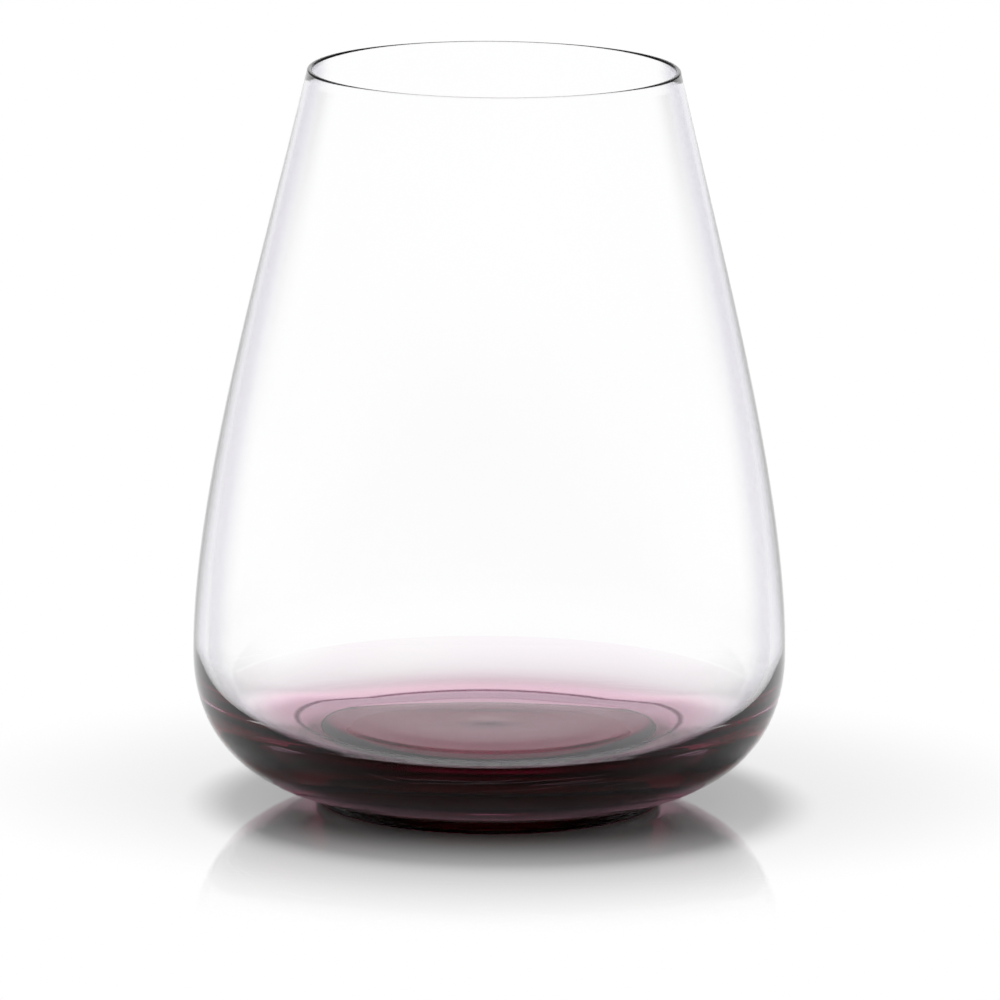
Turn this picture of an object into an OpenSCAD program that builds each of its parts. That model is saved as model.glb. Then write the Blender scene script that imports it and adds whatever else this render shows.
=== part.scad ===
// Stemless wine glass: a clear blown bowl, a plum base gather that cups it, and a low foot pad,
// three gathers of glass fused while hot. Every piece is turned about the Z axis.
// Millimetres. The origin is on the axis, on the face that the glass stands on.

/* [Outline] */
// Height from the table to the top of the rim
glass_h = 124.5; // [110:0.5:140]
// Widest diameter, round the belly
belly_d = 100; // [90:0.5:112]
// Height of the widest line above the table
belly_z = 25.3; // [23:0.1:30]
// Outside diameter of the mouth
rim_d = 62.6; // [54:0.2:74]
// Lean of the wall at the rim, away from upright
rim_lean = 13.1; // [8:0.1:18]

/* [Bowl] */
// Thickness of the wall at the rim
rim_wall = 0.9; // [0.7:0.05:1.6]
// Thickness of the wall at the belly
belly_wall = 2.35; // [1.6:0.05:3]
// Height of the widest line inside the bowl
cavity_z = 26.6; // [25:0.1:31]
// Height of the inside floor above the table, at its crest
floor_z = 10.9; // [10.3:0.1:13]
// Rise of the inside floor where it starts to turn up into the wall, from level
corner_angle = 6; // [0:0.5:12]
// Clear glass between the crest of the inside floor and the plum base
lining = 1; // [0.8:0.1:2]

/* [Floor marks] */
// Radius of the low nub at the middle of the floor
nub_r = 5; // [3:0.1:9]
// Height of the nub
nub_h = 0.08; // [0.02:0.01:0.2]
// Radius of the ring-shaped crest round the shallow dish
crest_r = 18.5; // [16:0.1:20]
// Depth of the dish inside that crest
dish_depth = 0.2; // [0.05:0.01:0.3]
// Width of the soft slope outside the crest
slope_w = 6.5; // [5:0.1:7.5]
// Drop of that slope
slope_drop = 0.2; // [0.05:0.01:0.3]
// Width of the steeper step outside the slope
step_w = 3.6; // [2.5:0.1:4.2]
// Drop of that step
step_drop = 0.35; // [0.1:0.01:0.45]
// Width of the level ledge between the step and the corner
ledge_w = 3.9; // [2.5:0.1:4.5]

/* [Plum base] */
// Radius of the flat seat that the bowl's bottom rests on
seat_r = 30; // [24:0.1:31]
// Angle at which the plum glass thins out against the heel
feather_angle = 2.6; // [1:0.1:4]
// Rise of the underside where it leaves the foot, from level
underside_rise = 7.5; // [4:0.1:12]

/* [Foot] */
// Diameter of the foot pad
foot_d = 58.6; // [52:0.2:62]
// Height of the foot pad
foot_h = 2; // [1.2:0.1:2.6]
// Rounding of the foot's lower edge
foot_round = 0.5; // [0.2:0.05:0.8]
// Width of the flat ring that the glass stands on
ring_w = 5.5; // [3:0.1:8]
// Depth of the hollow inside that ring
hollow_depth = 0.9; // [0.3:0.05:1]

/* [Hidden] */

// Facets round the axis
$fn = 120;
// Straight steps along one curve of an outline
curve_steps = 20;
// Straight steps along one flank of a floor mark, and round the rim and the foot's edge
mark_steps = 6;

// Handles of the outline's curves, as shares of each curve's own reach
belly_pull_share = 0.28;
rim_pull_share = 0.32;
heel_pull_share = 0.585;
under_pull_share = 0.6;
corner_pull_share = 0.55;
corner_drop_share = 0.735;
seat_pull_share = 0.884376;
seat_sink_share = 0.05;
feather_pull_share = 0.61;
// Share of the heel's steps, from the foot up, that the plum glass covers
feather_share = 0.75;

belly_r = belly_d / 2;
rim_r = rim_d / 2;
foot_r = foot_d / 2;
ring_r = foot_r - ring_w;
seat_z = floor_z - lining;
rim_round = rim_wall / 2;
rim_z = glass_h - rim_round;
cavity_r = belly_r - belly_wall;
mouth_r = rim_r - rim_wall;
slope_r = crest_r + slope_w;
step_r = slope_r + step_w;
corner_r = step_r + ledge_w;
dish_z = floor_z - dish_depth;
slope_z = floor_z - slope_drop;
corner_z = slope_z - step_drop;
feather_step = round(curve_steps * feather_share);

// Cubic curve from a to d, pulled towards b and c, as a list of points
function curve(a, b, c, d) = [
    for (i = [0:curve_steps])
        let (t = i / curve_steps, u = 1 - t)
            u * u * u * a + 3 * u * u * t * b + 3 * u * t * t * c + t * t * t * d
];

// Points of an arc about a centre, from one angle to another
function arc(centre, r, from, to) = [
    for (i = [0:mark_steps])
        let (a = from + (to - from) * i / mark_steps)
            centre + r * [cos(a), sin(a)]
];

// Soft ramp between two points: level at both ends, half a cosine in between
function ramp(a, b) = [
    for (i = [0:mark_steps])
        let (t = i / mark_steps)
            [a.x + (b.x - a.x) * t, a.y + (b.y - a.y) * (1 - cos(180 * t)) / 2]
];

function reversed(points) = [for (i = [len(points) - 1:-1:0]) points[i]];

// Wall curve from a widest point up to a rim point, shared by both faces of the wall
function wall(low_r, low_z, high_r) =
    let (rise = rim_z - low_z, pull = rise * rim_pull_share)
        curve(
            [low_r, low_z],
            [low_r, low_z + rise * belly_pull_share],
            [high_r + pull * tan(rim_lean), rim_z - pull],
            [high_r, rim_z]
        );

// Outside of the lower glass, from the foot pad out and up to the belly
function heel() =
    let (reach = (belly_r - foot_r) * under_pull_share)
        curve(
            [foot_r, foot_h],
            [foot_r + reach, foot_h + reach * tan(underside_rise)],
            [belly_r, belly_z - (belly_z - foot_h) * heel_pull_share],
            [belly_r, belly_z]
        );

// Part of the heel between two of its steps
function heel_part(from, to) = let (points = heel()) [for (i = [from:to]) points[i]];

// Face on which the bowl and the plum base are fused: from the seat it sinks into the heel,
// then follows it up until the plum glass has thinned out to nothing
function seam() =
    let (
        end = heel()[feather_step],
        below = heel()[feather_step - 1],
        lean = atan2(end.y - below.y, end.x - below.x) - feather_angle,
        pull = end.y * feather_pull_share
    )
        curve(
            [seat_r, seat_z],
            [end.x * seat_pull_share, seat_z * (1 - seat_sink_share)],
            end - pull * [cos(lean), sin(lean)],
            end
        );

// Inside corner, from the floor out and up to the widest line of the hollow
function corner() =
    let (reach = (cavity_r - corner_r) * corner_pull_share)
        curve(
            [corner_r, corner_z],
            [corner_r + reach, corner_z + reach * tan(corner_angle)],
            [cavity_r, cavity_z - (cavity_z - corner_z) * corner_drop_share],
            [cavity_r, cavity_z]
        );

// Inside floor from the axis out: nub, dish, crest, slope and step
function floor_marks() = concat(
    ramp([0, dish_z + nub_h], [nub_r, dish_z]),
    ramp([nub_r, dish_z], [crest_r, floor_z]),
    ramp([crest_r, floor_z], [slope_r, slope_z]),
    ramp([slope_r, slope_z], [step_r, corner_z])
);

// Clear bowl: thin at the rim, heavier at the belly, with a thin clear lining over the plum base
module clear_bowl() {
    color([0.86, 0.9, 0.94, 0.4])
        rotate_extrude()
            polygon(concat(
                [[0, seat_z]],
                seam(),
                heel_part(feather_step, curve_steps),
                wall(belly_r, belly_z, rim_r),
                arc([rim_r - rim_round, rim_z], rim_round, 0, 180),
                reversed(wall(cavity_r, cavity_z, mouth_r)),
                reversed(corner()),
                reversed(floor_marks())
            ));
}

// Plum base: a heavy dish of dark glass that feathers out to nothing on the heel
module plum_base() {
    color([0.24, 0.04, 0.1, 0.9])
        rotate_extrude()
            polygon(concat(
                [[0, foot_h]],
                heel_part(0, feather_step),
                reversed(seam()),
                [[0, seat_z]]
            ));
}

// Foot pad: a low disc under the base, hollowed a little so that it stands on a ring
module foot_pad() {
    color([0.12, 0.02, 0.05, 0.95])
        rotate_extrude()
            polygon(concat(
                [[0, foot_h], [0, hollow_depth]],
                ramp([0, hollow_depth], [ring_r, 0]),
                arc([foot_r - foot_round, foot_round], foot_round, 270, 360),
                [[foot_r, foot_h]]
            ));
}

clear_bowl();
plum_base();
foot_pad();
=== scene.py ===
import math

import bpy
import bmesh
from mathutils import Matrix, Vector


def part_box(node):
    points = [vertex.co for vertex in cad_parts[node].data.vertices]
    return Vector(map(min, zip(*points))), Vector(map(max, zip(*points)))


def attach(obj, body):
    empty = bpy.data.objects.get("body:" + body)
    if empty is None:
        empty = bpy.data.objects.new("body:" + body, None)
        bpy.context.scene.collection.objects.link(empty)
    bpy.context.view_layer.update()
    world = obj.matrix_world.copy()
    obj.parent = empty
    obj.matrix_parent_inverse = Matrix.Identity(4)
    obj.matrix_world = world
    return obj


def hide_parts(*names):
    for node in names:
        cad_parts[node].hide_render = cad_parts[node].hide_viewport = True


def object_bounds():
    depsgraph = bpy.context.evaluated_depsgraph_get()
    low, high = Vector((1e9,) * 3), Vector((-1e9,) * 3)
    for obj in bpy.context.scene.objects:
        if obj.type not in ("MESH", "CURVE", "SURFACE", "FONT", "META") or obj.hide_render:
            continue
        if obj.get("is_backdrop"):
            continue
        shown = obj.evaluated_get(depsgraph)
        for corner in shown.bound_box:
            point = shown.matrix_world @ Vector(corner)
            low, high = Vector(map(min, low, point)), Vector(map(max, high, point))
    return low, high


# %% [markdown]
# A stemless wine glass is three gathers of glass, melted into one: a clear bowl, a dark plum base
# that cups it, and a low foot pad. The construction model is read first, because it says where
# each gather starts and ends. Its outer sizes are taken from there, and the finer ones are named
# here, in metres, so that the glass can be changed in one place.
# %% Read the construction model and name the sizes
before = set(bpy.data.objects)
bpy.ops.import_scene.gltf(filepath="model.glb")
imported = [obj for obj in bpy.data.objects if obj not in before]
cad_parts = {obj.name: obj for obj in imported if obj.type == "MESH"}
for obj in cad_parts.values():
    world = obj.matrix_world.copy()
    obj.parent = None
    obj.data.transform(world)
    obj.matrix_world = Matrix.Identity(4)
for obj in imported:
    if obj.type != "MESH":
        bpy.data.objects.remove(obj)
bounds_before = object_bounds()
MM = 0.001

bowl_low, bowl_high = (Vector(corner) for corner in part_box("clear_bowl"))
foot_low, foot_high = (Vector(corner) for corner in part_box("foot_pad"))

SIZES = {
    "Glass height": bowl_high.z,
    "Belly radius": (bowl_high.x - bowl_low.x) / 2,
    "Foot radius": (foot_high.x - foot_low.x) / 2,
    "Foot height": foot_high.z,
    "Belly height": 25.3 * MM,
    "Rim radius": 31.3 * MM,
    "Rim wall": 0.9 * MM,
    "Belly wall": 2.35 * MM,
    "Hollow belly height": 26.6 * MM,
    "Floor height": 10.9 * MM,
    "Lining": 1.0 * MM,
    "Nub radius": 5 * MM,
    "Nub height": 0.08 * MM,
    "Crest radius": 18.5 * MM,
    "Dish depth": 0.2 * MM,
    "Slope width": 6.5 * MM,
    "Slope drop": 0.2 * MM,
    "Step width": 3.6 * MM,
    "Step drop": 0.35 * MM,
    "Ledge width": 3.9 * MM,
    "Seat radius": 30 * MM,
    "Foot rounding": 0.5 * MM,
    "Ring width": 5.5 * MM,
    "Hollow depth": 0.25 * MM,
    "Fused gap": 0.05 * MM,
}
print("sizes in mm:", {name: round(value / MM, 2) for name, value in SIZES.items()})

# %% [markdown]
# Blown glass is turned on the pipe, so every face of it is an outline swept round the axis. The
# outline could be typed as points, but then nobody could change the glass. Here it is drawn by
# Bezier segments inside a node tree, from the named sizes, and this small class does its sums.
# %% A helper that draws an outline inside a node tree


class Drawing:
    """A node tree being drawn: named sizes in, outline segments out."""

    def __init__(self, name):
        self.tree = bpy.data.node_groups.new(name, "GeometryNodeTree")
        self.face = self.tree.interface
        for way in ("INPUT", "OUTPUT"):
            self.face.new_socket("Geometry", in_out=way, socket_type="NodeSocketGeometry")
        self.into = self.add("NodeGroupInput")
        self.out = self.add("NodeGroupOutput")
        self.segments = []

    def add(self, kind, **settings):
        node = self.tree.nodes.new(kind)
        for name, value in settings.items():
            setattr(node, name, value)
        return node

    def link(self, source, target):
        self.tree.links.new(source, target)

    def feed(self, socket, value):
        if hasattr(value, "is_output"):
            self.link(value, socket)
        else:
            socket.default_value = value

    def input(self, name, kind="NodeSocketFloat"):
        """The group's input of this name, made when it is first asked for."""
        if name not in [s.name for s in self.face.items_tree if s.in_out == "INPUT"]:
            self.face.new_socket(name, in_out="INPUT", socket_type=kind)
        return self.into.outputs[name]

    def sum(self, operation, a, b):
        node = self.add("ShaderNodeMath", operation=operation)
        self.feed(node.inputs[0], a)
        self.feed(node.inputs[1], b)
        return node.outputs[0]

    def plus(self, a, b):
        return self.sum("ADD", a, b)

    def less(self, a, b):
        return self.sum("SUBTRACT", a, b)

    def times(self, a, b):
        return self.sum("MULTIPLY", a, b)

    def at(self, r, z):
        """A point of the outline: its radius and its height."""
        node = self.add("ShaderNodeCombineXYZ")
        self.feed(node.inputs["X"], r)
        self.feed(node.inputs["Z"], z)
        return node.outputs[0]

    def parts(self, vector):
        node = self.add("ShaderNodeSeparateXYZ")
        self.link(vector, node.inputs[0])
        return node.outputs

    def vector(self, operation, *values):
        node = self.add("ShaderNodeVectorMath", operation=operation)
        for socket, value in zip(node.inputs, values):
            self.feed(socket, value)
        return node.outputs[0]

    def between(self, a, b, share):
        node = self.add("ShaderNodeMix", data_type="VECTOR")
        node.inputs["Factor"].default_value = share
        # a Mix node has sockets for each kind of value, and these are the ones for vectors
        self.link(a, node.inputs[4])
        self.link(b, node.inputs[5])
        return node.outputs[1]


# %% [markdown]
# A segment is one smooth stretch of an outline. Each carries a mark that says whether it is free
# surface, which bends light, or a face fused to the next gather, which doesn't. The stretches are
# straight lines, soft ramps like the rings that a tool leaves on a floor, and free curves. Long
# curves get more steps than short ones, so that no facet shows on the outline.
# %% Segments of an outline
FLAT_STEPS, SHORT_STEPS, SEAM_STEPS = 6, 3, 40
RAMP_PULL = 0.3642


def add_segment(d, points, steps, fused=False):
    """One Bezier segment of the outline, marked as fused glass or as free surface."""
    node = d.add("GeometryNodeCurvePrimitiveBezierSegment", mode="POSITION")
    node.inputs["Resolution"].default_value = steps
    for name, point in zip(("Start", "Start Handle", "End Handle", "End"), points):
        d.link(point, node.inputs[name])
    mark = d.add("GeometryNodeStoreNamedAttribute", data_type="FLOAT", domain="POINT")
    mark.inputs["Name"].default_value = "fused"
    mark.inputs["Value"].default_value = float(fused)
    d.link(node.outputs[0], mark.inputs["Geometry"])
    d.segments.append(mark.outputs[0])


def add_straight(d, a, b, steps, fused=False):
    add_segment(d, (a, d.between(a, b, 1 / 3), d.between(a, b, 2 / 3), b), steps, fused)


def ramp(d, a_r, a_z, b_r, b_z):
    """A soft step, level at both ends, close to half a wave."""
    run = d.times(d.less(b_r, a_r), RAMP_PULL)
    return d.at(a_r, a_z), d.at(d.plus(a_r, run), a_z), d.at(d.less(b_r, run), b_z), d.at(b_r, b_z)


def split(d, points, share):
    """A Bezier segment cut in two at a share of its run: both halves."""
    a, b, c, e = points
    ab, bc, ce = (d.between(p, q, share) for p, q in ((a, b), (b, c), (c, e)))
    abc, bce = d.between(ab, bc, share), d.between(bc, ce, share)
    cut = d.between(abc, bce, share)
    return (a, ab, abc, cut), (cut, bce, ce, e)


# %% [markdown]
# The wall swells from the foot to the belly and leans in to the rim, and the heel is the heavy
# turn below the belly. Both faces of the wall use one curve. The shares say how far each handle
# pulls, so they set how full the glass looks.
# %% The curves of the wall and the heel
RIM_LEAN, UNDERSIDE_RISE = math.radians(13.1), math.radians(7.5)
RIM_PULL, BELLY_PULL = 0.32, 0.28
UNDER_PULL, HEEL_PULL = 0.6, 0.585


def wall(d, low_r, low_z, high_r):
    top = d.less(d.input("Glass height"), d.times(d.input("Rim wall"), 0.5))
    rise = d.less(top, low_z)
    pull = d.times(rise, RIM_PULL)
    lean = d.plus(high_r, d.times(pull, math.tan(RIM_LEAN)))
    swell = d.plus(low_z, d.times(rise, BELLY_PULL))
    return d.at(low_r, low_z), d.at(low_r, swell), d.at(lean, d.less(top, pull)), d.at(high_r, top)


def heel(d):
    foot_r, foot_h = d.input("Foot radius"), d.input("Foot height")
    belly_r, belly_z = d.input("Belly radius"), d.input("Belly height")
    reach = d.times(d.less(belly_r, foot_r), UNDER_PULL)
    under = d.at(d.plus(foot_r, reach), d.plus(foot_h, d.times(reach, math.tan(UNDERSIDE_RISE))))
    low = d.less(belly_z, d.times(d.less(belly_z, foot_h), HEEL_PULL))
    return d.at(foot_r, foot_h), under, d.at(belly_r, low), d.at(belly_r, belly_z)


# %% [markdown]
# The seam is where the plum glass ends and the clear glass starts. It leaves the flat seat under
# the floor, sinks into the heel and climbs along its outside until the plum glass has thinned out
# to nothing, which is what makes the colour fade up the wall. Both gathers are drawn with this one
# curve, so that they meet.
# %% The seam
COVERED, STEP_SHARE = 0.75, 0.05
FEATHER_ANGLE, FEATHER_PULL = math.radians(2.6), 0.61
SEAT_PULL, SEAT_SINK = 0.884376, 0.05


def seam(d):
    """The seam's handles, and the radius at which the plum glass ends."""
    seat_r = d.input("Seat radius")
    seat_z = d.less(d.input("Floor height"), d.input("Lining"))
    curve = heel(d)
    end = split(d, curve, COVERED)[0][3]
    below = split(d, curve, COVERED - STEP_SHARE)[0][3]
    end_parts = d.parts(end)
    turn = d.add("ShaderNodeVectorRotate", rotation_type="Y_AXIS")
    turn.inputs["Angle"].default_value = FEATHER_ANGLE
    d.link(d.vector("NORMALIZE", d.vector("SUBTRACT", end, below)), turn.inputs["Vector"])
    back = d.add("ShaderNodeVectorMath", operation="SCALE")
    d.link(turn.outputs[0], back.inputs[0])
    d.link(d.times(end_parts["Z"], FEATHER_PULL), back.inputs["Scale"])
    feather = d.vector("SUBTRACT", end, back.outputs[0])
    seat = d.at(d.times(end_parts["X"], SEAT_PULL), d.times(seat_z, 1 - SEAT_SINK))
    return (d.at(seat_r, seat_z), seat, feather, end), end_parts["X"]


# %% [markdown]
# Where two gathers are fused, their skins would lie in the same place, and the render could not
# tell which of them comes first. So the fused stretch of one of them is moved by a hair, up for
# the bowl and down for the foot, all but its outer end, which has to stay on the outside.
# %% Join the segments and set fused skins apart
END_MARGIN = 0.01 * MM


def attribute(d, name):
    node = d.add("GeometryNodeInputNamedAttribute", data_type="FLOAT")
    node.inputs["Name"].default_value = name
    return node.outputs[0]


def outline_points(d):
    """All segments in their order, as the points of one outline."""
    outline = d.segments[0]
    for segment in d.segments[1:]:
        join = d.add("GeometryNodeJoinGeometry")
        d.link(segment, join.inputs[0])
        d.link(outline, join.inputs[0])
        outline = join.outputs[0]
    points = d.add("GeometryNodeCurveToPoints", mode="EVALUATED")
    d.link(outline, points.inputs[0])
    return points.outputs[0]


def lifted(d, points, edge_r, gap):
    """Moves the fused points inside a radius up by a gap, or down by one below zero."""
    place = d.add("GeometryNodeInputPosition").outputs[0]
    within = d.sum("LESS_THAN", d.parts(place)["X"], d.less(edge_r, END_MARGIN))
    node = d.add("GeometryNodeSetPosition")
    d.link(points, node.inputs["Geometry"])
    lift = d.times(d.times(within, attribute(d, "fused")), gap)
    d.link(d.at(0.0, lift), node.inputs["Offset"])
    return node.outputs[0]


# %% [markdown]
# The turning is the same for all three: a flat grid, one column of points for each step round the
# axis, is wrapped so that every column lies on the outline. Where an outline meets the axis, and
# where the last column meets the first, the points are merged, so the skin is closed.
# %% Turn an outline round the axis
FACETS = 256
ALL_CORNERS = 0.99
MERGE_WITHIN = 0.002 * MM
SHARP_ABOVE = math.radians(40)


def wrapped(d, points):
    """A grid whose columns are copies of the outline, turned step by step round the axis."""
    count = d.add("GeometryNodeAttributeDomainSize", component="POINTCLOUD")
    d.link(points, count.inputs[0])
    per_column = count.outputs["Point Count"]
    grid = d.add("GeometryNodeMeshGrid")
    grid.inputs["Vertices X"].default_value = FACETS + 1
    d.link(per_column, grid.inputs["Vertices Y"])
    index = d.add("GeometryNodeInputIndex").outputs[0]
    row = d.sum("MODULO", index, per_column)
    column = d.sum("FLOOR", d.sum("DIVIDE", index, per_column), 0.0)
    angle = d.times(column, 2 * math.pi / FACETS)

    def sampled(kind, field):
        node = d.add("GeometryNodeSampleIndex", data_type=kind, domain="POINT")
        for name, source in (("Geometry", points), ("Value", field), ("Index", row)):
            d.link(source, node.inputs[name])
        return node.outputs[0]

    spot = d.parts(sampled("FLOAT_VECTOR", d.add("GeometryNodeInputPosition").outputs[0]))
    place = d.add("ShaderNodeCombineXYZ")
    d.link(d.times(spot["X"], d.sum("COSINE", angle, 0.0)), place.inputs["X"])
    d.link(d.times(spot["X"], d.sum("SINE", angle, 0.0)), place.inputs["Y"])
    d.link(spot["Z"], place.inputs["Z"])
    keep = d.add("GeometryNodeStoreNamedAttribute", data_type="FLOAT", domain="POINT")
    keep.inputs["Name"].default_value = "fused_point"
    d.link(grid.outputs[0], keep.inputs["Geometry"])
    d.link(sampled("FLOAT", attribute(d, "fused")), keep.inputs["Value"])
    # a face averages its corners, and is fused only where all of them are
    store = d.add("GeometryNodeStoreNamedAttribute", data_type="FLOAT", domain="FACE")
    store.inputs["Name"].default_value = "fused"
    d.link(keep.outputs[0], store.inputs["Geometry"])
    d.link(d.sum("GREATER_THAN", attribute(d, "fused_point"), ALL_CORNERS), store.inputs["Value"])
    shape = d.add("GeometryNodeSetPosition")
    d.link(store.outputs[0], shape.inputs["Geometry"])
    d.link(place.outputs[0], shape.inputs["Position"])
    return shape.outputs[0]


def finish_skin(d, shape):
    """Merges the skin, shades it smooth but for its sharp edges, and gives it its glass."""
    merge = d.add("GeometryNodeMergeByDistance")
    merge.inputs["Distance"].default_value = MERGE_WITHIN
    d.link(shape, merge.inputs[0])
    smooth = d.add("GeometryNodeSetShadeSmooth")
    d.link(merge.outputs[0], smooth.inputs["Geometry"])
    bend = d.add("GeometryNodeInputMeshEdgeAngle").outputs["Unsigned Angle"]
    sharp = d.add("GeometryNodeSetShadeSmooth", domain="EDGE")
    sharp.inputs["Shade Smooth"].default_value = False
    d.link(smooth.outputs[0], sharp.inputs["Geometry"])
    d.link(d.sum("GREATER_THAN", bend, SHARP_ABOVE), sharp.inputs["Selection"])
    real = d.add("GeometryNodeRealizeInstances")
    d.link(sharp.outputs[0], real.inputs[0])
    paint = d.add("GeometryNodeSetMaterial")
    d.link(real.outputs[0], paint.inputs["Geometry"])
    d.link(d.input("Glass", "NodeSocketMaterial"), paint.inputs["Material"])
    d.link(paint.outputs[0], d.out.inputs[0])


# %% [markdown]
# A finished tree is run once, on an empty mesh, and its result is kept as a plain mesh. The count
# of open edges is printed, because glass with a hole in its skin would render as a thin shell.
# %% Keep a turned piece as a plain mesh


def turned_piece(name, d, material):
    holder = bpy.data.objects.new(name, bpy.data.meshes.new(name))
    bpy.context.scene.collection.objects.link(holder)
    modifier = holder.modifiers.new("turned", "NODES")
    modifier.node_group = d.tree
    for socket in d.face.items_tree:
        if socket.in_out == "INPUT" and socket.name in SIZES:
            modifier[socket.identifier] = SIZES[socket.name]
        elif socket.in_out == "INPUT" and socket.name == "Glass":
            modifier[socket.identifier] = material
    bpy.context.view_layer.update()
    evaluated = holder.evaluated_get(bpy.context.evaluated_depsgraph_get())
    mesh = bpy.data.meshes.new_from_object(evaluated)
    mesh.name = name
    holder.modifiers.clear()
    holder.data = mesh
    work = bmesh.new()
    work.from_mesh(mesh)
    volume = work.calc_volume(signed=True)
    if volume < 0:
        bmesh.ops.reverse_faces(work, faces=work.faces)
        work.to_mesh(mesh)
    open_edges = sum(not edge.is_manifold for edge in work.edges)
    work.free()
    cubic_mm = round(abs(volume) / MM ** 3)
    print(name, len(mesh.polygons), "faces,", cubic_mm, "mm3, open edges", open_edges)
    return holder


# %% [markdown]
# Materials are trees as well. This class keeps their code as short as a recipe: it adds a node
# with its values, does a sum, makes a soft step or mixes two colours.
# %% A helper that wires materials


class Wiring:
    """A shader tree being wired."""

    def __init__(self, tree):
        self.nodes, self.links = tree.nodes, tree.links

    def add(self, kind, sockets=None, **settings):
        """A node with its settings, its sockets fed with numbers, colours or other sockets."""
        node = self.nodes.new(kind)
        for name, value in settings.items():
            setattr(node, name, value)
        for key, value in (sockets or {}).items():
            socket = node.inputs[key]
            if hasattr(value, "is_output"):
                self.links.new(value, socket)
            else:
                socket.default_value = (*value, 1) if socket.type == "RGBA" else value
        return node

    def sum(self, operation, *values):
        return self.add("ShaderNodeMath", dict(enumerate(values)), operation=operation).outputs[0]

    def times(self, *values):
        total = values[0]
        for value in values[1:]:
            total = self.sum("MULTIPLY", total, value)
        return total

    def fade(self, value, low, high, to_low=0.0, to_high=1.0):
        """A soft step of a value between two limits."""
        step = self.add("ShaderNodeMapRange", {
            "Value": value, "From Min": low, "From Max": high, "To Min": to_low, "To Max": to_high,
        }, interpolation_type="SMOOTHSTEP")
        return step.outputs[0]

    def mixed(self, factor, a, b):
        """A mix of two colours, whose sockets are the seventh and the eighth."""
        return self.add("ShaderNodeMix", {0: factor, 6: a, 7: b}, data_type="RGBA").outputs[2]

    def parts(self, vector):
        return self.add("ShaderNodeSeparateXYZ", {0: vector}).outputs


def new_material(name):
    material = bpy.data.materials.new(name)
    material.use_nodes = True
    material.node_tree.nodes.clear()
    return material, Wiring(material.node_tree)


# %% [markdown]
# Blowing leaves its traces: slow waves in the wall, thin flow lines round the floor's corner and a
# few seeds, which are tiny bubbles. The same group gives a fine dark line where the floor ends,
# which is painted shade standing for the shade of a small step there. All of it is one group, used
# by all three kinds of glass with other amounts. The lines are drawn along the angle round the
# axis, because the glass was spun.
# %% The traces of blowing and a painted crease shade
WAVE_NOISE = {"Scale": 26, "Detail": 1.0, "Distortion": 0.4}
LINE_NOISE = {"Scale": 1.1, "Detail": 2.0, "Distortion": 0.8}
LINE_PACKING, LINE_COUNT, LINE_WIDTH = 150.0, 9.0, 0.07
LINES_IN, LINES_OUT = (33.5 * MM, 36.5 * MM), (40.5 * MM, 43.5 * MM)
MARKS_BELOW = (14 * MM, 18 * MM)
CREASE_RADIUS, CREASE_WIDTH = 33.3 * MM, (0.2 * MM, 0.9 * MM)
CREASE_ABOVE = (10.1 * MM, 10.2 * MM)
SEED_SCALE, SEED_SIZE = 95, (0.015, 0.03)


def flow_group():
    group = bpy.data.node_groups.new("blown_flow_and_crease_shade", "ShaderNodeTree")
    for label in ("Waves", "Lines", "Seeds"):
        group.interface.new_socket(label, in_out="INPUT", socket_type="NodeSocketFloat")
    group.interface.new_socket("Normal", in_out="OUTPUT", socket_type="NodeSocketVector")
    for label in ("Cloud", "Crease shade"):
        group.interface.new_socket(label, in_out="OUTPUT", socket_type="NodeSocketFloat")
    w = Wiring(group)
    amount = w.add("NodeGroupInput").outputs
    place = w.add("ShaderNodeTexCoord").outputs["Object"]
    x, y, z = w.parts(place)
    across = w.sum("SQRT", w.sum("ADD", w.sum("POWER", x, 2.0), w.sum("POWER", y, 2.0)))
    around = w.sum("ARCTAN2", y, x)

    def noise(vector, kind):
        return w.add("ShaderNodeTexNoise", {"Vector": vector, **kind}).outputs["Fac"]

    slow = noise(place, WAVE_NOISE)
    spun = w.add("ShaderNodeCombineXYZ", {
        "X": w.times(across, LINE_PACKING),
        "Y": w.sum("SINE", around),
        "Z": w.sum("COSINE", around),
    }).outputs[0]
    # folded noise is near zero along thin lines, wherever it passes a whole number
    streak = w.sum("PINGPONG", w.times(noise(spun, LINE_NOISE), LINE_COUNT), 0.5)
    low_down = w.fade(z, *MARKS_BELOW, 1.0, 0.0)
    zone = w.times(w.fade(across, *LINES_IN), w.fade(across, *LINES_OUT, 1.0, 0.0), low_down)
    lines = w.times(w.fade(streak, 0.0, LINE_WIDTH, 1.0, 0.0), zone)
    # the ring where the floor ends carries painted shade, for the shade of a small step there
    off_crease = w.sum("ABSOLUTE", w.sum("SUBTRACT", across, CREASE_RADIUS))
    ring = w.fade(off_crease, *CREASE_WIDTH, 1.0, 0.0)
    crease_shade = w.times(ring, w.fade(z, *CREASE_ABOVE), low_down)
    cells = w.add("ShaderNodeTexVoronoi", {"Scale": SEED_SCALE, "Vector": place})
    seeds = w.fade(cells.outputs["Distance"], *SEED_SIZE, 1.0, 0.0)
    height = w.times(slow, amount["Waves"])
    for mark, label in ((lines, "Lines"), (seeds, "Seeds")):
        height = w.sum("ADD", height, w.times(mark, amount[label]))
    bump = w.add("ShaderNodeBump", {"Strength": 1.0, "Distance": MM, "Height": height})
    w.add("NodeGroupOutput", {"Normal": bump.outputs[0], "Cloud": slow, "Crease shade": crease_shade})
    return group


FLOW = flow_group()
print("traces of blowing:", len(FLOW.nodes), "nodes")
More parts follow.
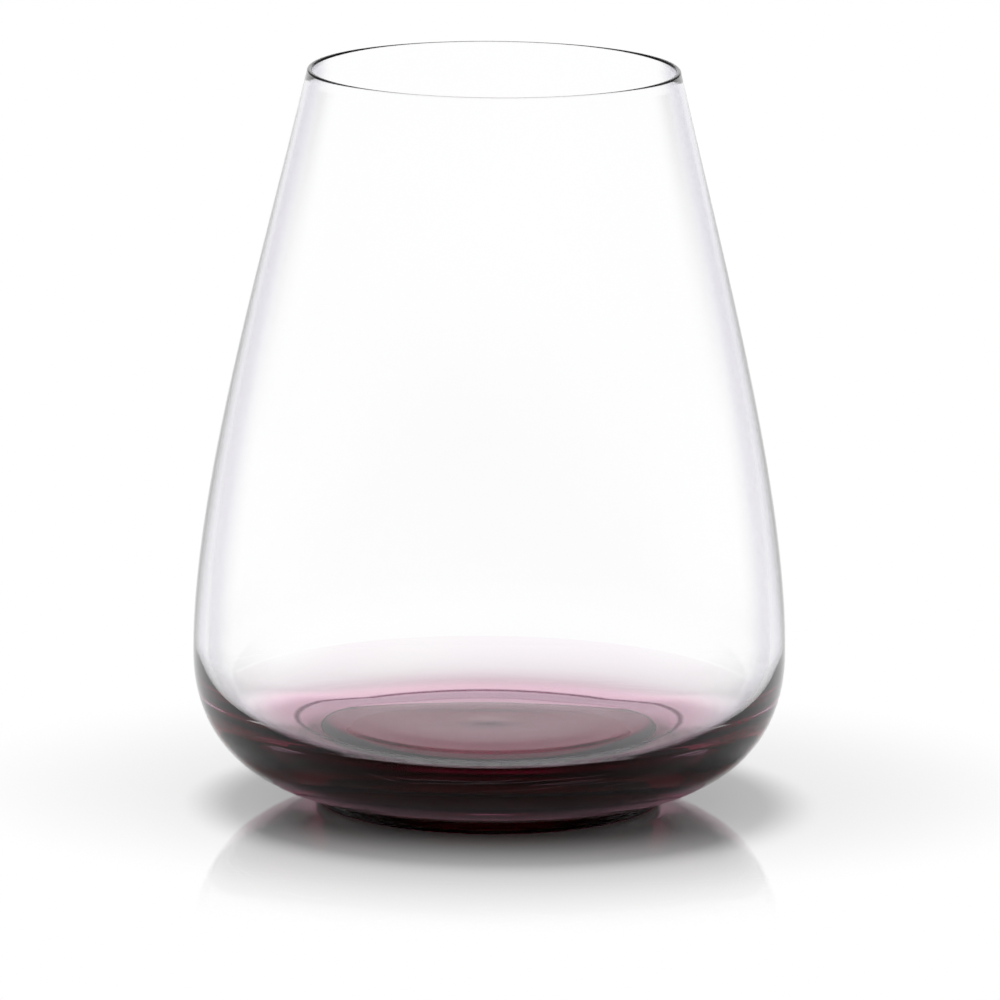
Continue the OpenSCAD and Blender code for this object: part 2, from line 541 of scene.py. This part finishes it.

# %% [markdown]
# Glass takes its look from what light does inside it. The surface bends light; the body drinks it,
# a little more with each millimetre, which is why the plum fades where its skin is thin. A fused
# face is no surface at all, so there the glass is told to bend nothing. The mirror gloss is dimmed
# by a dark tint, which is painted shade on the reflections and keeps the heavy base from looking
# grey. The clear wall gets a painted edge shade, a violet grey where it is seen edge-on. It stands
# for the darker surroundings that glass shows at grazing angles, and in part for the longer path
# of light through the glass there.
# %% The three kinds of glass
WHITE = (1, 1, 1)
# painted shade: the colour of the dark line where the floor ends
PAINTED_CREASE_SHADE = (0.05, 0.0, 0.02)
EDGE_FROM, EDGE_TO = 0.56, 0.78
CLOUD_FROM, CLOUD_TO = 0.35, 0.65
GLASS_BENDS, FUSED_BENDS = 1.5, 1.0
DEPTH_MARGIN = 1.25


def glass(name, cloud_tint, edge_shade, reflection_shade, marks, absorbed=None):
    """Glass of one gather: absorbed is how much red, green and blue each metre of it drinks."""
    material, w = new_material(name)
    flow = w.add("ShaderNodeGroup", node_tree=FLOW)
    for label, value in zip(("Waves", "Lines", "Seeds"), marks):
        flow.inputs[label].default_value = value
    facing = w.add("ShaderNodeLayerWeight", {"Blend": 0.5}).outputs["Facing"]
    tint_and_edge_shade = w.mixed(w.fade(flow.outputs["Cloud"], CLOUD_FROM, CLOUD_TO), WHITE, cloud_tint)
    # painted edge shade: grey where seen edge-on, for darker surroundings and partly the longer
    # path
    tint_and_edge_shade = w.mixed(w.fade(facing, EDGE_FROM, EDGE_TO), tint_and_edge_shade, edge_shade)
    fused = w.add("ShaderNodeAttribute", attribute_name="fused").outputs["Fac"]
    bends = w.add("ShaderNodeMapRange", {
        "Value": fused, "To Min": GLASS_BENDS, "To Max": FUSED_BENDS,
    })
    skin = w.add("ShaderNodeBsdfPrincipled", {
        # the dark line where the floor ends is painted shade
        "Base Color": w.mixed(flow.outputs["Crease shade"], tint_and_edge_shade, PAINTED_CREASE_SHADE),
        "Roughness": 0.0,
        "Transmission Weight": 1.0,
        # a dim Specular Tint: painted shade on the reflections
        "Specular Tint": reflection_shade,
        "IOR": bends.outputs[0],
        "Normal": flow.outputs["Normal"],
    })
    out = w.add("ShaderNodeOutputMaterial", {"Surface": skin.outputs[0]})
    if absorbed:
        density = max(absorbed) * DEPTH_MARGIN
        colour = tuple(1 - share / density for share in absorbed)
        body = w.add("ShaderNodeVolumeAbsorption", {"Density": density, "Color": colour})
        w.links.new(body.outputs[0], out.inputs["Volume"])
    return material


# the edge and gloss colours below are painted shade: grey edge-on, and dimmed reflections
CLEAR = glass(
    "clear_blown_glass", cloud_tint=(0.995, 0.995, 1), edge_shade=(0.64, 0.62, 0.70),
    reflection_shade=(0.3, 0.28, 0.32), marks=(0.012, 0.012, 0.0),
)
PLUM = glass(
    "deep_plum_glass", cloud_tint=(0.98, 0.94, 0.96), edge_shade=WHITE,
    reflection_shade=(0.12, 0.03, 0.03), marks=(0.01, 0.0, 0.04), absorbed=(50, 122, 92),
)
FOOT = glass(
    "plum_foot_glass", cloud_tint=(0.98, 0.94, 0.96), edge_shade=WHITE,
    reflection_shade=(0.05, 0.03, 0.03), marks=(0.02, 0.0, 0.0), absorbed=(120, 310, 240),
)
print("kinds of glass:", [material.name for material in (CLEAR, PLUM, FOOT)])

# %% [markdown]
# The clear bowl is blown: the rim is thin and fire-polished, and the wall grows to more than two
# millimetres at the belly. Its outline starts on the axis, follows the seam out, then goes up the
# outside and round the rim. Polishing in the flame rounds a rim evenly, so it is two quarter turns.
# A segment looks like a quarter turn when its handles reach QUARTER of the radius.
# %% The clear bowl: outside and rim
UPPER_HEEL_STEPS, WALL_STEPS, RIM_STEPS = 14, 52, 7
QUARTER = 0.5523
bowl = Drawing("clear_bowl_outline")
belly_r, rim_r = bowl.input("Belly radius"), bowl.input("Rim radius")
floor_z = bowl.input("Floor height")
seam_points, feather_r = seam(bowl)
seat_middle = bowl.at(0.0, bowl.less(floor_z, bowl.input("Lining")))
add_straight(bowl, seat_middle, seam_points[0], FLAT_STEPS, fused=True)
add_segment(bowl, seam_points, SEAM_STEPS, fused=True)
add_segment(bowl, split(bowl, heel(bowl), COVERED)[1], UPPER_HEEL_STEPS)
add_segment(bowl, wall(bowl, belly_r, bowl.input("Belly height"), rim_r), WALL_STEPS)

rim_round = bowl.times(bowl.input("Rim wall"), 0.5)
rim_z = bowl.less(bowl.input("Glass height"), rim_round)
rim_middle = bowl.less(rim_r, rim_round)
mouth_r = bowl.less(rim_r, bowl.input("Rim wall"))
rim_pull = bowl.times(rim_round, QUARTER)
rim_top_z, pulled_z = bowl.plus(rim_z, rim_round), bowl.plus(rim_z, rim_pull)
rim_top = bowl.at(rim_middle, rim_top_z)
outer_handle = bowl.at(bowl.plus(rim_middle, rim_pull), rim_top_z)
inner_handle = bowl.at(bowl.less(rim_middle, rim_pull), rim_top_z)
outer_turn = bowl.at(rim_r, rim_z), bowl.at(rim_r, pulled_z), outer_handle, rim_top
inner_turn = rim_top, inner_handle, bowl.at(mouth_r, pulled_z), bowl.at(mouth_r, rim_z)
add_segment(bowl, outer_turn, RIM_STEPS)
add_segment(bowl, inner_turn, RIM_STEPS)

# %% [markdown]
# The inside runs down the wall and round a full corner to the floor, which has the marks of the
# tool that set it flat: a level ledge, a step and a soft slope up to a crest, and inside that a
# shallow dish with a nub at the middle. They are a few tenths of a millimetre high, but glass
# shows them as rings. Segments that were drawn outwards are turned round with [::-1].
# %% The clear bowl: inside and floor
CORNER_ANGLE, CORNER_PULL, CORNER_DROP = math.radians(6), 0.55, 0.67
CORNER_STEPS, SLOPE_STEPS, DISH_STEPS, NUB_STEPS = 40, 8, 10, 6
hollow_r = bowl.less(belly_r, bowl.input("Belly wall"))
hollow_z = bowl.input("Hollow belly height")
add_segment(bowl, wall(bowl, hollow_r, hollow_z, mouth_r)[::-1], WALL_STEPS)

nub_r, crest_r = bowl.input("Nub radius"), bowl.input("Crest radius")
slope_r = bowl.plus(crest_r, bowl.input("Slope width"))
step_r = bowl.plus(slope_r, bowl.input("Step width"))
corner_r = bowl.plus(step_r, bowl.input("Ledge width"))
dish_z = bowl.less(floor_z, bowl.input("Dish depth"))
nub_z = bowl.plus(dish_z, bowl.input("Nub height"))
slope_z = bowl.less(floor_z, bowl.input("Slope drop"))
corner_z = bowl.less(slope_z, bowl.input("Step drop"))
reach = bowl.times(bowl.less(hollow_r, corner_r), CORNER_PULL)
climb = bowl.times(reach, math.tan(CORNER_ANGLE))
drop = bowl.times(bowl.less(hollow_z, corner_z), CORNER_DROP)
wall_handle = bowl.at(hollow_r, bowl.less(hollow_z, drop))
corner_handle = bowl.at(bowl.plus(corner_r, reach), bowl.plus(corner_z, climb))
corner = bowl.at(corner_r, corner_z)
corner_turn = bowl.at(hollow_r, hollow_z), wall_handle, corner_handle, corner
add_segment(bowl, corner_turn, CORNER_STEPS)
add_straight(bowl, corner, bowl.at(step_r, corner_z), SHORT_STEPS)
add_segment(bowl, ramp(bowl, slope_r, slope_z, step_r, corner_z)[::-1], SLOPE_STEPS)
add_segment(bowl, ramp(bowl, crest_r, floor_z, slope_r, slope_z)[::-1], SLOPE_STEPS)
add_segment(bowl, ramp(bowl, nub_r, dish_z, crest_r, floor_z)[::-1], DISH_STEPS)
add_segment(bowl, ramp(bowl, 0.0, nub_z, nub_r, dish_z)[::-1], NUB_STEPS)
bowl_points = lifted(bowl, outline_points(bowl), feather_r, bowl.input("Fused gap"))
finish_skin(bowl, wrapped(bowl, bowl_points))
clear_bowl = turned_piece("clear_bowl_glass", bowl, CLEAR)

# %% [markdown]
# The plum base is a second gather, dark and heavy, that was laid over the bottom of the bowl. It is
# thick under the floor and thins to a skin on the heel, so that it looks black from the side and
# pink where the skin ends. It shares the heel and the seam with the bowl.
# %% The plum base
LOWER_HEEL_STEPS = 36
base = Drawing("plum_base_outline")
foot_h = base.input("Foot height")
seam_points = seam(base)[0]
seat_middle = base.at(0.0, base.less(base.input("Floor height"), base.input("Lining")))
foot_edge = base.at(base.input("Foot radius"), foot_h)
add_straight(base, base.at(0.0, foot_h), foot_edge, FLAT_STEPS, fused=True)
add_segment(base, split(base, heel(base), COVERED)[0], LOWER_HEEL_STEPS)
add_segment(base, seam_points[::-1], SEAM_STEPS, fused=True)
add_straight(base, seam_points[0], seat_middle, FLAT_STEPS, fused=True)
finish_skin(base, wrapped(base, outline_points(base)))
plum_base = turned_piece("plum_base_glass", base, PLUM)

# %% [markdown]
# The foot pad is a small third gather pressed on under the base. It lifts the heavy bottom off the
# table and is hollowed a little, so the glass stands on a ring and doesn't rock.
# %% The foot pad
HOLLOW_STEPS, FOOT_EDGE_STEPS = 16, 6
foot = Drawing("foot_pad_outline")
foot_r, foot_h = foot.input("Foot radius"), foot.input("Foot height")
edge = foot.input("Foot rounding")
keep = foot.times(edge, 1 - QUARTER)
flat_r = foot.less(foot_r, edge)
ring_r = foot.less(foot_r, foot.input("Ring width"))
hollow = ramp(foot, 0.0, foot.input("Hollow depth"), ring_r, 0.0)
edge_low, edge_high = foot.at(flat_r, 0.0), foot.at(foot_r, edge)
edge_handles = foot.at(foot.less(foot_r, keep), 0.0), foot.at(foot_r, keep)
top_edge = foot.at(foot_r, foot_h)
add_segment(foot, hollow, HOLLOW_STEPS)
add_straight(foot, hollow[3], edge_low, SHORT_STEPS)
add_segment(foot, (edge_low, *edge_handles, edge_high), FOOT_EDGE_STEPS)
add_straight(foot, edge_high, top_edge, SHORT_STEPS)
add_straight(foot, top_edge, foot.at(0.0, foot_h), FLAT_STEPS, fused=True)
fused_drop = foot.times(foot.input("Fused gap"), -1.0)
finish_skin(foot, wrapped(foot, lifted(foot, outline_points(foot), foot_r, fused_drop)))
foot_pad = turned_piece("foot_pad_glass", foot, FOOT)

# %% [markdown]
# Each visual piece takes the place of its solid in the shared frame, and all of them ride on the
# one rigid body, because fused glass has no joint.
# %% Put the pieces into the frame
for piece, node, slot in (
    (clear_bowl, "clear_bowl", "clear_glass"),
    (plum_base, "plum_base", "plum_glass"),
    (foot_pad, "foot_pad", "foot_glass"),
):
    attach(piece, "root")
    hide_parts(node)

# %% [markdown]
# The glass stands on a pale table that shines a little. Near the foot the table shows its shadow
# and a soft mirror image; further out it runs into a white ground, as on a studio sweep. Light
# that passes the glass lands under and behind the foot. Tracing it would take very long, so two
# soft glows on the table stand for it; the one behind is only seen through the glass. All of them
# fade with the distance from a spot, from an inner value to an outer one.
# %% The table
TABLE_RADIUS, TABLE_SIDES = 0.6, 128
TABLE_PAINT, MIRROR_BLUR = (0.98, 0.98, 0.98), 0.02
WHITE_GROUND = {
    "near": 46 * MM, "far": 104 * MM, "inner": 0.0, "outer": 1.0,
    "spot": (3 * MM, 8 * MM), "depth": 1.25,
}
MIRROR_IMAGE = {"near": 45 * MM, "far": 102 * MM, "inner": 0.38, "outer": 0.0}
UNDER_FOOT = {"near": 26 * MM, "far": 29.5 * MM, "inner": 0.36, "outer": 0.0, "spot": (0, 10 * MM)}
UNDER_FOOT_TINT = (1.0, 0.76, 0.83)
BAND_FROM = {"near": 29 * MM, "far": 34 * MM, "inner": 0.0, "outer": 0.65}
BAND_TO = {"near": 46 * MM, "far": 56 * MM, "inner": 0.65, "outer": 0.0}
BAND_BEHIND = (-2 * MM, 7 * MM)


def table():
    mesh = bpy.data.meshes.new("table")
    turns = [2 * math.pi * k / TABLE_SIDES for k in range(TABLE_SIDES)]
    ring = [(TABLE_RADIUS * math.cos(a), TABLE_RADIUS * math.sin(a), 0) for a in turns]
    mesh.from_pydata(ring, [], [tuple(range(TABLE_SIDES))])
    top = bpy.data.objects.new("table", mesh)
    bpy.context.scene.collection.objects.link(top)
    material, w = new_material("pale_table")
    place = w.add("ShaderNodeTexCoord").outputs["Object"]

    def around_spot(near, far, inner, outer, spot=(0, 0), depth=1.0):
        """A value that fades with the distance from a spot; depth shrinks it front to back."""
        shift = {0: place, 1: (1, depth, 1), 2: (-spot[0], -spot[1] * depth, 0)}
        away = w.add("ShaderNodeVectorMath", shift, operation="MULTIPLY_ADD").outputs[0]
        length = w.add("ShaderNodeVectorMath", {0: away}, operation="LENGTH").outputs["Value"]
        return w.fade(length, near, far, inner, outer)

    matt = w.add("ShaderNodeBsdfDiffuse", {"Color": TABLE_PAINT}).outputs[0]
    white = w.add("ShaderNodeEmission", {"Color": WHITE}).outputs[0]
    to_white = around_spot(**WHITE_GROUND)
    lit = w.add("ShaderNodeMixShader", {0: to_white, 1: matt, 2: white}).outputs[0]
    path = w.add("ShaderNodeLightPath").outputs
    unmirrored = w.sum("LESS_THAN", path["Glossy Depth"], 0.5)
    band = w.sum("MINIMUM", around_spot(**BAND_FROM), around_spot(**BAND_TO))
    far_half = w.fade(w.parts(place)["Y"], *BAND_BEHIND)
    behind = w.times(band, far_half, path["Is Transmission Ray"], unmirrored)
    for tint, strength in ((UNDER_FOOT_TINT, around_spot(**UNDER_FOOT)), (WHITE, behind)):
        glow = w.add("ShaderNodeEmission", {"Color": tint, "Strength": strength}).outputs[0]
        lit = w.add("ShaderNodeAddShader", {0: lit, 1: glow}).outputs[0]
    mirror = w.add("ShaderNodeBsdfGlossy", {"Color": WHITE, "Roughness": MIRROR_BLUR}).outputs[0]
    shine = w.add("ShaderNodeMixShader", {0: around_spot(**MIRROR_IMAGE), 1: lit, 2: mirror})
    w.add("ShaderNodeOutputMaterial", {"Surface": shine.outputs[0]})
    mesh.materials.append(material)
    top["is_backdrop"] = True
    print("table radius in mm:", round(TABLE_RADIUS / MM))


table()
# the lamp shines through the clear bowl, which the renderer's shadow would take for opaque
clear_bowl.visible_shadow = False

# %% [markdown]
# The light is a bright tent of cloth round the glass, darker overhead. Glass shows its edges only
# against something darker, and the dark lines along its walls come from that darker top. To the
# left and right behind the glass hang two dimmer sheets, which keep stray bright stripes out of
# the heavy base. The camera doesn't see them.
# %% The light tent
TOP_STRENGTH, TOP_FROM, TOP_TO = 0.3, 0.3, 0.9
ON_TABLE = 0.35
SHEET_IN, SHEET_OUT = (math.radians(8), math.radians(22)), (math.radians(50), math.radians(70))
SHEET_DIM, SHEET_ABOVE = 0.85, 0.06


def light_tent():
    world = bpy.data.worlds.new("light_tent")
    bpy.context.scene.world = world
    world.use_nodes = True
    world.node_tree.nodes.clear()
    w = Wiring(world.node_tree)
    x, y, z = w.parts(w.add("ShaderNodeTexCoord").outputs["Generated"])
    path = w.add("ShaderNodeLightPath").outputs
    seen = w.sum("ADD", path["Is Camera Ray"], path["Is Glossy Ray"])
    seen = w.sum("MINIMUM", w.sum("ADD", seen, path["Is Transmission Ray"]), 1.0)
    shown = w.times(seen, w.sum("LESS_THAN", path["Diffuse Depth"], 0.5))
    turned = w.sum("ARCTAN2", w.sum("ABSOLUTE", x), y)
    sheets = w.times(
        w.fade(turned, *SHEET_IN, 0.0, SHEET_DIM),
        w.fade(turned, *SHEET_OUT, 1.0, 0.0),
        w.sum("SUBTRACT", 1.0, path["Is Camera Ray"]),
        w.fade(z, 0.0, SHEET_ABOVE),
    )
    cloth = w.times(w.fade(z, TOP_FROM, TOP_TO, 1.0, TOP_STRENGTH), w.sum("SUBTRACT", 1.0, sheets))
    lighting = w.times(w.sum("SUBTRACT", 1.0, shown), ON_TABLE)
    strength = w.sum("ADD", w.times(shown, cloth), lighting)
    sky = w.add("ShaderNodeBackground", {"Color": WHITE, "Strength": strength})
    w.add("ShaderNodeOutputWorld", {0: sky.outputs[0]})
    print("tent strength overhead:", TOP_STRENGTH, "and for the table:", ON_TABLE)


light_tent()

# %% [markdown]
# The table is lit from a soft lamp above and behind, so the shadow lies under the glass and before
# it. A big disc gives the shadow its soft edge. The lamp's own picture stays out of the glass,
# because a studio would hide it behind the cloth.
# %% The lamp
LAMP_PLACE, LAMP_SIZE, LAMP_POWER = Vector((-0.12, 0.35, 1.0)), 0.6, 7.2


def hang_lamp():
    light = bpy.data.lights.new("soft_lamp", "AREA")
    light.shape, light.size, light.energy = "DISK", LAMP_SIZE, LAMP_POWER
    holder = bpy.data.objects.new("soft_lamp", light)
    holder.location = LAMP_PLACE
    holder.rotation_euler = (-LAMP_PLACE).to_track_quat("-Z", "Y").to_euler()
    holder.visible_camera = holder.visible_glossy = holder.visible_transmission = False
    bpy.context.scene.collection.objects.link(holder)
    print("lamp in watts:", LAMP_POWER, "distance in mm:", round(LAMP_PLACE.length / MM))


hang_lamp()

# %% [markdown]
# The camera looks down on the glass by some eleven degrees, from far away and with a long lens, so
# the glass is nearly free of perspective. Its small roll follows the photograph's.
# %% The camera
CAMERA_DISTANCE, CAMERA_RISE, CAMERA_ROLL = 1.700, math.radians(11.25), math.radians(0.495)
CAMERA_TARGET = Vector((0.0016, 0, 0.0511))
SENSOR_MM, LENS_MM, SEES_TO = 36, 363.4, 50


def stand_camera():
    back = Vector((0, -math.cos(CAMERA_RISE), math.sin(CAMERA_RISE)))
    level = Vector((1, 0, 0))
    upright = level.cross(-back)
    x = level * math.cos(CAMERA_ROLL) + upright * math.sin(CAMERA_ROLL)
    y = upright * math.cos(CAMERA_ROLL) - level * math.sin(CAMERA_ROLL)
    lens = bpy.data.cameras.new("camera")
    lens.sensor_width, lens.lens, lens.clip_end = SENSOR_MM, LENS_MM, SEES_TO
    camera = bpy.data.objects.new("camera", lens)
    camera.matrix_world = Matrix((
        (x.x, y.x, back.x, 0),
        (x.y, y.y, back.y, 0),
        (x.z, y.z, back.z, 0),
        (0, 0, 0, 1),
    ))
    camera.matrix_world.translation = CAMERA_TARGET + back * CAMERA_DISTANCE
    bpy.context.scene.collection.objects.link(camera)
    bpy.context.scene.camera = camera
    print("camera height in mm:", round(camera.matrix_world.translation.z / MM))


stand_camera()

# %% [markdown]
# Light passes many faces inside a thick glass, so the render is allowed enough bounces. Light that
# glass gathers on the table is left to the two glows, so refractive caustics are off. The sizes
# before and after are printed.
# %% Finish
GLASS_BOUNCES, MIRROR_BOUNCES = 32, 12
scene = bpy.context.scene
scene.view_settings.view_transform = "Standard"
scene.cycles.max_bounces = GLASS_BOUNCES
scene.cycles.transmission_bounces = GLASS_BOUNCES
scene.cycles.transparent_max_bounces = GLASS_BOUNCES
scene.cycles.glossy_bounces = MIRROR_BOUNCES
scene.cycles.caustics_refractive = False

bounds_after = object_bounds()


def plain(value):
    if isinstance(value, dict):
        return {key: plain(item) for key, item in value.items()}
    if hasattr(value, "__len__") and not isinstance(value, str):
        return [plain(item) for item in value]
    return value


{"cad": plain(bounds_before), "visual": plain(bounds_after)}
print("bounds", plain(bounds_before), plain(bounds_after))
